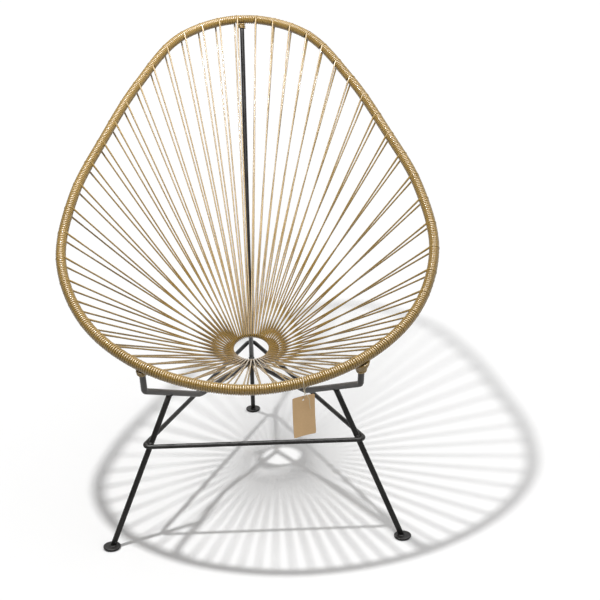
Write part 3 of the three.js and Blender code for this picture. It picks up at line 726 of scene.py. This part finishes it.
def straight(start, end, steps):
    """Evenly spaced points between two, without either."""
    share = (np.arange(1, steps) / steps)[:, None]
    return start + (end - start) * share


def loop(index, arc):
    """One loop: a proud band from the hoop's back over its outside to the face, the run to the ring,
    the way round it, and the run to the hoop's back. Its points, side directions and radii."""
    share = np.linspace(0, 1, BAND_STEPS)[1:]
    lift = PROUD * smooth(share / PROUD_SHARE)
    band, band_side = coil_points(np.full(share.shape, arc + LEAVE), (1 + share) * np.pi, COIL + lift)
    turn, turn_side = ring_return(index, arc)
    back, back_side = coil_points(arc + RETURN, np.pi, COIL)
    out = straight(band[-1], turn[0], RUN_STEPS)
    home = straight(turn[-1], back, RUN_STEPS)
    out_side = straight(band_side[-1], turn_side[0], RUN_STEPS)
    home_side = straight(turn_side[-1], back_side, RUN_STEPS)
    path = np.concatenate([band, out, turn, home])
    radii = np.full(len(path), TIGHT_CORD / 2)
    radii[: len(band)] = CORD / 2
    return path, np.concatenate([band_side, out_side, turn_side, home_side]), radii


def string_seat(cord_finish):
    """The seat's cord in fourteen lengths, as it is wound: turns, a loop to the ring, turns again.
    Each length starts and ends half-way through the turns between two loops."""
    names = ["lip_cord"] + [f"seat_cord_{n:02d}" for n in range(1, LOOPS // LOOPS_PER_CORD)]
    for number, name in enumerate(names):
        first = number * LOOPS_PER_CORD - LOOPS_PER_CORD // 2
        parts = []
        for step in range(LOOPS_PER_CORD + 1):
            there = first + step
            turns, sides = winding(arc_of(there - 1), arc_of(there))
            middle = len(turns) // 2
            begin = middle if step == 0 else 0
            stop = middle + 1 if step == LOOPS_PER_CORD else len(turns)
            parts.append((turns[begin:stop], sides[begin:stop], np.full(stop - begin, CORD / 2)))
            if step < LOOPS_PER_CORD:
                parts.append(loop(there % LOOPS, arc_of(there)))
        path, side, radii = (np.concatenate([part[k] for part in parts]) for k in range(3))
        grid = tube(path, side, radii, CORD_SIDES)
        piece(name.replace("_cord", "_strand"), [grid], cord_finish, replaced=[name])


# The steel frame.

def fillet(corner, before, after, radius):
    """The arc of a radius that touches both straight runs of a corner: the middle direction times
    the turn's cosine plus the direction across it times its sine, from one touch to the other."""
    back, on = unit(before - corner), unit(after - corner)
    half = np.arccos(np.clip(back @ on, -1, 1)) / 2
    centre = corner + unit(back + on) * radius / np.sin(half)
    start = corner + back * radius / np.tan(half) - centre
    middle = unit(corner - centre) * radius
    swing = np.arccos(np.clip(unit(start) @ unit(middle), -1, 1))
    turn = np.linspace(-1, 1, BEND_STEPS + 1)[:, None] * swing
    return centre + middle * np.cos(turn) + unit(on - back) * radius * np.sin(turn)


def bent(corners, radii):
    """A rod's middle line: straight runs joined by arcs of the given radius, one for each inner corner."""
    corners = np.asarray(corners, float)
    inner = zip(corners[1:-1], corners[:-2], corners[2:], radii)
    return np.concatenate([corners[:1], *(fillet(*corner) for corner in inner), corners[-1:]])


def spread(line):
    """A line with points added on its straight runs, no further apart than ROD_STEP."""
    lengths = np.linalg.norm(np.diff(line, axis=0), axis=1)
    counts = np.maximum(1, np.ceil(lengths / ROD_STEP)).astype(int)
    parts = [a + (b - a) * (np.arange(n) / n)[:, None] for a, b, n in zip(line[:-1], line[1:], counts)]
    return np.concatenate([*parts, line[-1:]])


def arm_corners(side):
    """An arm's corners: on the hoop, the bend below it, the bend under the seat, and the middle."""
    joint = hoop_point(ARM_JOINT_ARC)
    corners = np.array([joint, joint + [0, ARM_SETBACK, -ARM_DROP], ARM_INNER, SADDLE])
    return corners * np.array([side, 1, 1])


def leg_axis(side):
    """A front leg's axis, from the floor to the middle line of the arm that it carries."""
    corners = arm_corners(side)
    return np.array([[side * FRONT_FOOT_X, 0, 0], corners[1] + (corners[2] - corners[1]) * LEG_TOP_SHARE])


REAR_AXIS = np.array([REAR_FOOT, REAR_LEG_TOP])


def at_height(axis, height):
    """The point of a straight axis at a height."""
    return axis[0] + (axis[1] - axis[0]) * (height - axis[0][2]) / (axis[1][2] - axis[0][2])


def beside_leg(axis, along, across, diameter):
    """How far beside a leg's axis a level rod's axis passes, so that the two rods just touch."""
    normal = unit(np.cross(along, unit(axis[1] - axis[0])))
    return (diameter + STRETCHER_ROD) / 2 / abs(normal @ across)


def stretcher_corners():
    """The stretcher's corners: straight runs that pass close outside the three legs."""
    leg = at_height(leg_axis(1), STRETCHER_FRONT_HEIGHT)
    rear = at_height(REAR_AXIS, STRETCHER_REAR_HEIGHT)
    side = unit(rear - leg)
    out = unit(np.cross(side, [0, 0, 1]))
    past_front = beside_leg(leg_axis(1), side, out, LEG_ROD)
    past_rear = beside_leg(REAR_AXIS, side, out, REAR_LEG_ROD)
    on_side = leg + out * max(past_front, past_rear)
    front_y = leg[1] - beside_leg(leg_axis(1), np.array([1, 0, 0]), np.array([0, 1, 0]), LEG_ROD)
    front = on_side + side * (front_y - on_side[1]) / side[1]
    apex = on_side - side * on_side[0] / side[0]
    return np.array([
        [front[0], front_y, STRETCHER_FRONT_HEIGHT],
        [0, apex[1], STRETCHER_REAR_HEIGHT],
        [-front[0], front_y, STRETCHER_FRONT_HEIGHT],
    ])


def rod(name, line, side, diameter, paint, node, sides=ROD_SIDES, closed=False):
    """A round rod along a line, in a node's place."""
    line = spread(np.concatenate([line, line[:1]]))[:-1] if closed else spread(line)
    grid = tube(line, side, diameter / 2, sides, closed)
    piece(name, [grid], paint, replaced=[node], closed=[0] if closed else ())


def steel_frame(paint, painted_light_arm_finish):
    """Hoop rod, ring, arms, spine, legs and stretcher as smooth rods, and the welds that join them."""
    point, _, _, face = hoop_at(np.linspace(0, HOOP_LENGTH, HOOP_STEPS + 1)[:-1])
    rod("hoop_core", point, face, HOOP_ROD, paint, "hoop_rod", HOOP_SIDES, closed=True)
    ring = RING_CENTRE + ring_outward(circle(RING_STEPS)) * RING_RADIUS
    rod("ring_core", ring, RING_UP, RING_ROD, paint, "centre_ring", RING_SIDES, closed=True)
    for side, name in ((-1, "left"), (1, "right")):
        arm = bent(arm_corners(side), [ARM_OUTER_BEND, ARM_INNER_BEND])
        # The arms take the grey copy of the black paint, which is painted light for the light that falls on
        # their tops.
        rod(f"arm_bar_{name}", arm, [side * 0.8, 0.6, 0], ARM_ROD, painted_light_arm_finish, f"arm_{name}")
        axis = leg_axis(side)
        leg = np.array([at_height(axis, LEG_START_HEIGHT), axis[1]])
        rod(f"leg_bar_{name}", leg, [1, 0, 0], LEG_ROD, paint, f"front_leg_{name}")
    spine = bent([CROWN, SPINE_CORNER, SADDLE], [SPINE_BEND])
    rod("spine_bar", spine, [1, 0, 0], SPINE_ROD, paint, "spine_rod")
    rear_leg = np.array([at_height(REAR_AXIS, LEG_START_HEIGHT), REAR_LEG_TOP])
    rod("rear_leg_bar", rear_leg, [1, 0, 0], REAR_LEG_ROD, paint, "rear_leg")
    rod("stretcher_bar", stretcher_line(), [0, 0, 1], STRETCHER_ROD, paint, "stretcher", closed=True)
    welds(paint)


def stretcher_line():
    """The bent stretcher: three straight runs and three arcs as one closed line."""
    corners = stretcher_corners()
    radius = (LEG_ROD + STRETCHER_ROD) / 2
    around = zip(corners, np.roll(corners, 1, axis=0), np.roll(corners, -1, axis=0))
    return np.concatenate([fillet(corner, before, after, radius) for corner, before, after in around])


def weld_seam(end, axis, radius, other_point, other_axis, other_radius):
    """The bead where one round rod ends on another: the line on the first rod's surface at the
    distance from the second rod's axis that is its radius, as a thin tube with small ripples. Each
    point's way along the first rod is the nearer root of a t t + 2 b t + c."""
    axis, other_axis = unit(axis), unit(other_axis)
    spots = end + radius * spokes(axis, other_axis, SEAM_STEPS)
    gap = spots - other_point
    flat_gap = gap - (gap @ other_axis)[:, None] * other_axis
    flat_axis = axis - (axis @ other_axis) * other_axis
    a = flat_axis @ flat_axis
    b = flat_gap @ flat_axis
    c = np.sum(flat_gap**2, axis=1) - other_radius**2
    reach = (-b - np.sqrt(np.maximum(b**2 - a * c, 0))) / a
    angle = circle(SEAM_STEPS)
    ripple = WELD_BEAD * (1 + 0.14 * np.sin(angle * 17) + 0.08 * np.sin(angle * 29 + 1))
    return tube(spots + reach[:, None] * axis, axis, ripple, BEAD_SIDES, closed=True)


def weld_lump(centre, along):
    """A short bead laid between two rods that pass each other: a ball drawn out along them, with a
    radius that follows the sine and a height that follows the cosine, rippled."""
    share = np.linspace(0.02, 0.98, LUMP_ROWS)
    height = -np.cos(share * np.pi) * LUMP * 0.75
    radius = np.sin(share * np.pi) * LUMP * 0.5 * (1 + 0.1 * np.sin(share * 31))
    return turned(np.stack([radius, height], axis=1), centre, along, LUMP_SIDES)


def welds(paint):
    """Beads at the legs' upper ends, under the seat where the arms and the spine meet, and at the
    stretcher's three crossings."""
    seams = []
    for side in (-1, 1):
        corners, axis = arm_corners(side), leg_axis(side)
        arm = (corners[1], corners[2] - corners[1], ARM_ROD / 2)
        seams.append(weld_seam(axis[0], axis[1] - axis[0], LEG_ROD / 2, *arm))
    spine = (SPINE_CORNER + [0, 0, SPINE_LIFT], np.array([0, -1, -SPINE_SLOPE]), SPINE_ROD / 2)
    seams.append(weld_seam(REAR_FOOT, REAR_LEG_TOP - REAR_FOOT, REAR_LEG_ROD / 2, *spine))
    for side in (-1, 1):
        corners = arm_corners(side)
        arm = (corners[2], corners[3] - corners[2], ARM_ROD / 2)
        behind = SADDLE + [0, 0.1, 0]
        seams.append(weld_seam(behind, np.array([0, -1, 0]), SPINE_ROD / 2, *arm))
    piece("weld_seams", seams, paint, closed=range(len(seams)))
    front_y = stretcher_corners()[0][1]
    lumps = []
    for side in (-1, 1):
        leg = at_height(leg_axis(side), STRETCHER_FRONT_HEIGHT)
        touch = leg + [0, (front_y - leg[1]) / 2, 0]
        lumps += [weld_lump(touch + [0, 0, up], [side, 0, 0]) for up in (-FRONT_LUMP_LIFT, FRONT_LUMP_LIFT)]
    touch = at_height(REAR_AXIS, STRETCHER_REAR_HEIGHT) + [0, LEG_ROD / 2, 0]
    lumps += [weld_lump(touch + [0, 0, up], [1, 0, 0]) for up in (-REAR_LUMP_LIFT, REAR_LUMP_LIFT)]
    piece("stretcher_welds", lumps, paint)


def feet(paint, rubber):
    """Each foot is a turned plate with a low raised rim, a bead round the leg, and a pad under it.
    A profile runs from a tiny flat at its axis out, up, and back in."""
    edge, pole = FOOT_PLATE / 2, 0.0005
    plate = [
        (pole, 0.0023), (edge - 0.0006, 0.0023), (edge, 0.0029), (edge, 0.0047), (edge - 0.0004, 0.0054),
        (edge - 0.0014, 0.0056), (edge - 0.0026, 0.0052), (edge - 0.0036, 0.0048), (0.009, 0.0050),
        (pole, 0.0052),
    ]
    edge = FOOT_PAD / 2
    pad = [
        (pole, 0), (edge - 0.0004, 0), (edge, 0.0004), (edge, 0.0017), (edge - 0.0003, 0.0021),
        (pole, 0.0021),
    ]
    front = [(name, leg_axis(side), LEG_ROD) for name, side in (("left", -1), ("right", 1))]
    for name, axis, diameter in [*front, ("rear", REAR_AXIS, REAR_LEG_ROD)]:
        piece(f"foot_disc_{name}", [turned(plate, axis[0], [0, 0, 1], PLATE_SIDES)], paint,
              replaced=[f"foot_plate_{name}"])
        piece(f"foot_rubber_{name}", [turned(pad, axis[0], [0, 0, 1], PAD_SIDES)], rubber,
              replaced=[f"foot_pad_{name}"])
        lean = unit(axis[1] - axis[0])
        bottom = axis[0] + diameter / 2 * spokes(lean, [1, 0, 0], FOOT_SEAM_STEPS)
        seam = bottom + lean * ((FOOT_BEAD_HEIGHT - bottom[:, 2]) / lean[2])[:, None]
        bead = WELD_BEAD * (1 + 0.15 * np.sin(circle(FOOT_SEAM_STEPS) * 13))
        piece(f"foot_weld_{name}", [tube(seam, [0, 0, 1], bead, BEAD_SIDES, closed=True)], paint,
              closed=[0])


# The cord over the joints.

def joint_wrap(name, corners, bar, cord, finish, turns, lean=0, hug=0, dip=0, swell=0):
    """Turns of cord round a rod where it leaves the hoop: a helix whose radius narrows to the rod's from
    one that is larger by a swell. Its first turn leans with the hoop and hugs it in front and behind,
    and its last turn dips on the chair's left."""
    down = unit(corners[1] - corners[0])
    across = square_to(np.array([1.0, 0, 0]), down)
    beside = np.cross(down, across)
    share = np.linspace(0, 1, int(turns * WRAP_STEPS) + 1)
    angle = share * turns * 2 * np.pi
    radius = bar / 2 + cord / 2 + swell * (1 - smooth(share * WRAP_NARROWING))
    sideways, forward = np.cos(angle), np.sin(angle)
    depth = WOUND + cord / 2 + share * turns * cord * WRAP_TURN_SHARE
    depth = depth + lean * (1 - share) * radius * sideways - hug * (1 - share) * forward**2
    depth = depth + dip * share * (1 + sideways)
    rows = np.stack([depth, radius * sideways, radius * forward], axis=1)
    path = corners[0] + rows @ np.array([down, across, beside])
    grid = tube(path, down, cord / 2, WRAP_SIDES)
    piece(name.replace("wrap", "binding"), [grid], finish, replaced=[name])


def joint_wraps(finish):
    """The cord over the arms' two joints with the hoop, and over the spine's."""
    spine = np.array([CROWN, SPINE_CORNER])
    joint_wrap("joint_wrap_left", arm_corners(-1), ARM_ROD, CORD, finish, turns=1.6,
               lean=0.3, hug=0.0020, swell=0.0010)
    joint_wrap("joint_wrap_right", arm_corners(1), ARM_ROD, CORD, finish, turns=4.5,
               lean=-0.5, hug=0.0055, swell=0.0046)
    joint_wrap("joint_wrap_crown", spine, SPINE_ROD, TIGHT_CORD, finish, turns=2.5, dip=0.0018)


# The tag.

def tag_places():
    """The place where the string's strands meet, the card's hole, and the ways to its front and side."""
    point, _, inward, _ = hoop_at(TAG_ARC)
    front = np.array([np.sin(TAG_TURN), -np.cos(TAG_TURN), 0])
    across = np.array([np.cos(TAG_TURN), np.sin(TAG_TURN), 0])
    knot = point - inward * STRING_SETBACK - [0, 0, STRING_DROP]
    eye = knot - [0, 0, STRING_DROP] - front * 3 * STRING
    return knot, eye, front, across


def card_tag(card):
    """A card with a punched hole: rows of points go from the hole's edge out to the card's rounded
    outline on the front, over its thickness, and back to the hole on the rear. The card bows with the
    square of the way to its side and of the smooth step to its lower edge."""
    _, eye, front, across = tag_places()
    angle = circle(CARD_RAYS)
    ray = np.stack([np.cos(angle), np.sin(angle)], axis=1)
    low = np.array([-TAG_WIDTH / 2, TAG_HOLE_DROP - TAG_HEIGHT])
    high = np.array([TAG_WIDTH / 2, TAG_HOLE_DROP])
    corners = np.array([high, [low[0], high[1]], low, [high[0], low[1]]])
    corner_angle = np.mod(np.arctan2(corners[:, 1], corners[:, 0]), 2 * np.pi)
    nearest = np.abs(angle[None] - corner_angle[:, None]).argmin(axis=1)
    ray[nearest] = unit(corners)
    room = np.where(ray > 0, high, -low) / np.maximum(np.abs(ray), 1e-9)
    outline, hole = ray * room.min(axis=1)[:, None], ray * TAG_HOLE / 2
    inner = np.clip(outline, low + TAG_CORNER, high - TAG_CORNER)
    outline = inner + TAG_CORNER * unit(outline - inner)
    share = np.linspace(0, 1, CARD_ROWS)[:, None, None] ** CARD_ROW_POWER
    sheet = hole + (outline - hole) * share
    rows = np.concatenate([sheet, sheet[::-1]])
    depth = np.repeat([0.5, -0.5], CARD_ROWS)[:, None] * TAG_THICK
    bow = TAG_SIDE_BOW * (rows[..., 0] / (TAG_WIDTH / 2)) ** 2
    bow = bow + TAG_LOWER_BOW * smooth(-rows[..., 1] / TAG_HEIGHT) ** 2
    points = eye + rows[..., :1] * across + rows[..., 1:] * np.array([0, 0, 1.0])
    points = points + (depth + bow)[..., None] * front
    piece("tag_sheet", [points[:, ::-1]], card, body="tag", replaced=["tag_card"], closed=[0],
          smooth_shaded=False)


def smooth_path(marks, count, samples=40):
    """An even number of points on the open centripetal curve through the marks."""
    ends = np.concatenate([[2 * marks[0] - marks[1]], marks, [2 * marks[-1] - marks[-2]]])
    curve = closed_curve(ends, samples)[samples:samples * len(marks) + 1]
    arcs = lengths_along(curve)
    even = np.linspace(0, arcs[-1], count)
    return np.stack([np.interp(even, arcs, curve[:, k]) for k in range(3)], axis=-1)


def tag_string(twine):
    """The string: up from behind the card through its hole, once round the hoop, and down in a tail.
    Its turn is the way out from the hoop times the angle's cosine plus the face direction times its
    sine, and it steps evenly along the hoop."""
    point, along, inward, face = hoop_at(TAG_ARC)
    knot, eye, front, across = tag_places()
    up = np.array([0, 0, 1.0])
    reach = WOUND + STRING / 2
    share = np.linspace(0, 1, STRING_TURN_STEPS)[:, None]
    angle = STRING_TURN_START + (1 - share) * STRING_TURN_SWEEP
    hoop_turn = point + along * ((0.5 - share) * STRING_TURN_WIDTH * STRING)
    hoop_turn = hoop_turn - inward * reach * np.cos(angle) + face * reach * np.sin(angle)
    marks = np.concatenate([
        [eye - front * 0.006 - up * 0.012 + across * 0.002],
        [eye - front * 0.0042 - up * 0.003],
        [eye + up * (TAG_HOLE / 2 - STRING / 2 - STRING_CLEARANCE)],
        [eye + front * 0.004 + up * 0.007 + across * 0.0006],
        [knot + along * 1.2 * STRING - up * 0.002],
        [knot + along * 1.5 * STRING + up * 0.005],
        hoop_turn,
        [knot - along * 0.8 * STRING + up * 0.003 + front * 0.001],
        [knot - along * 0.2 * STRING - up * 0.005 + front * 0.0026 + across * 0.003],
        [knot - up * 0.014 + front * 0.004 + across * 0.008],
        [knot - up * 0.026 + front * 0.003 + across * 0.0095],
        [knot - up * 0.036 + front * 0.002 + across * 0.0115],
    ])
    path = smooth_path(marks, STRING_STEPS)
    grid = tube(path, along, STRING / 2, STRING_SIDES)
    made = piece("tag_twine", [grid], twine, body="tag", replaced=["tag_string"])


bpy.context.scene.view_settings.view_transform = "Standard"
aim_camera()
surround()
hang_lamp()
lay_floor()

PLASTIC, COAT, FIBRE = drawn_plastic(), powder_coat(), pressed_fibre()
GOLD_CORD = finish_of(
    "golden_cord", PLASTIC, {"Colour": (0.30, 0.190, 0.045), "Pale": (0.38, 0.248, 0.074)},
    roughness=0.24, bump=0.04, depth=0.0002, specular=0.5, coat=0.5, coat_roughness=0.12)
BLACK_PAINT = finish_of(
    "black_paint", COAT, {"Colour": (0.010, 0.0092, 0.0085), "Dust": (0.03, 0.028, 0.026)},
    roughness=0.40, bump=0.2, depth=0.0002, specular=0.25)
# The arms' paint is the black paint made grey: painted light for the light that falls on the arms' tops.
# Its dust in the grain is the paint's own.
ARMS_PAINTED_LIGHT_BLACK = finish_of(
    "arms_painted_light_black", COAT, {"Colour": (0.070, 0.066, 0.063), "Dust": (0.12, 0.115, 0.11)},
    roughness=0.38, bump=0.2, depth=0.0002, specular=0.25)
BLACK_RUBBER = finish_of(
    "black_rubber", COAT, {"Colour": (0.012, 0.012, 0.013), "Dust": (0.04, 0.04, 0.04)},
    roughness=0.75, bump=0.5, depth=0.0004, specular=0.2)
KRAFT_CARD = finish_of(
    "kraft_card", FIBRE, {"Colour": (0.82, 0.56, 0.31), "Fleck": (0.62, 0.41, 0.21)},
    roughness=0.85, bump=0.3, depth=0.0002, specular=0.1)
CREAM_TWINE = finish_of(
    "cream_twine", FIBRE, {"Colour": (0.86, 0.78, 0.60), "Fleck": (0.70, 0.60, 0.43)},
    roughness=0.85, bump=0.5, depth=0.0003, specular=0.1)

tag_string(CREAM_TWINE)
string_seat(GOLD_CORD)
steel_frame(BLACK_PAINT, ARMS_PAINTED_LIGHT_BLACK)
feet(BLACK_PAINT, BLACK_RUBBER)
joint_wraps(GOLD_CORD)
card_tag(KRAFT_CARD)
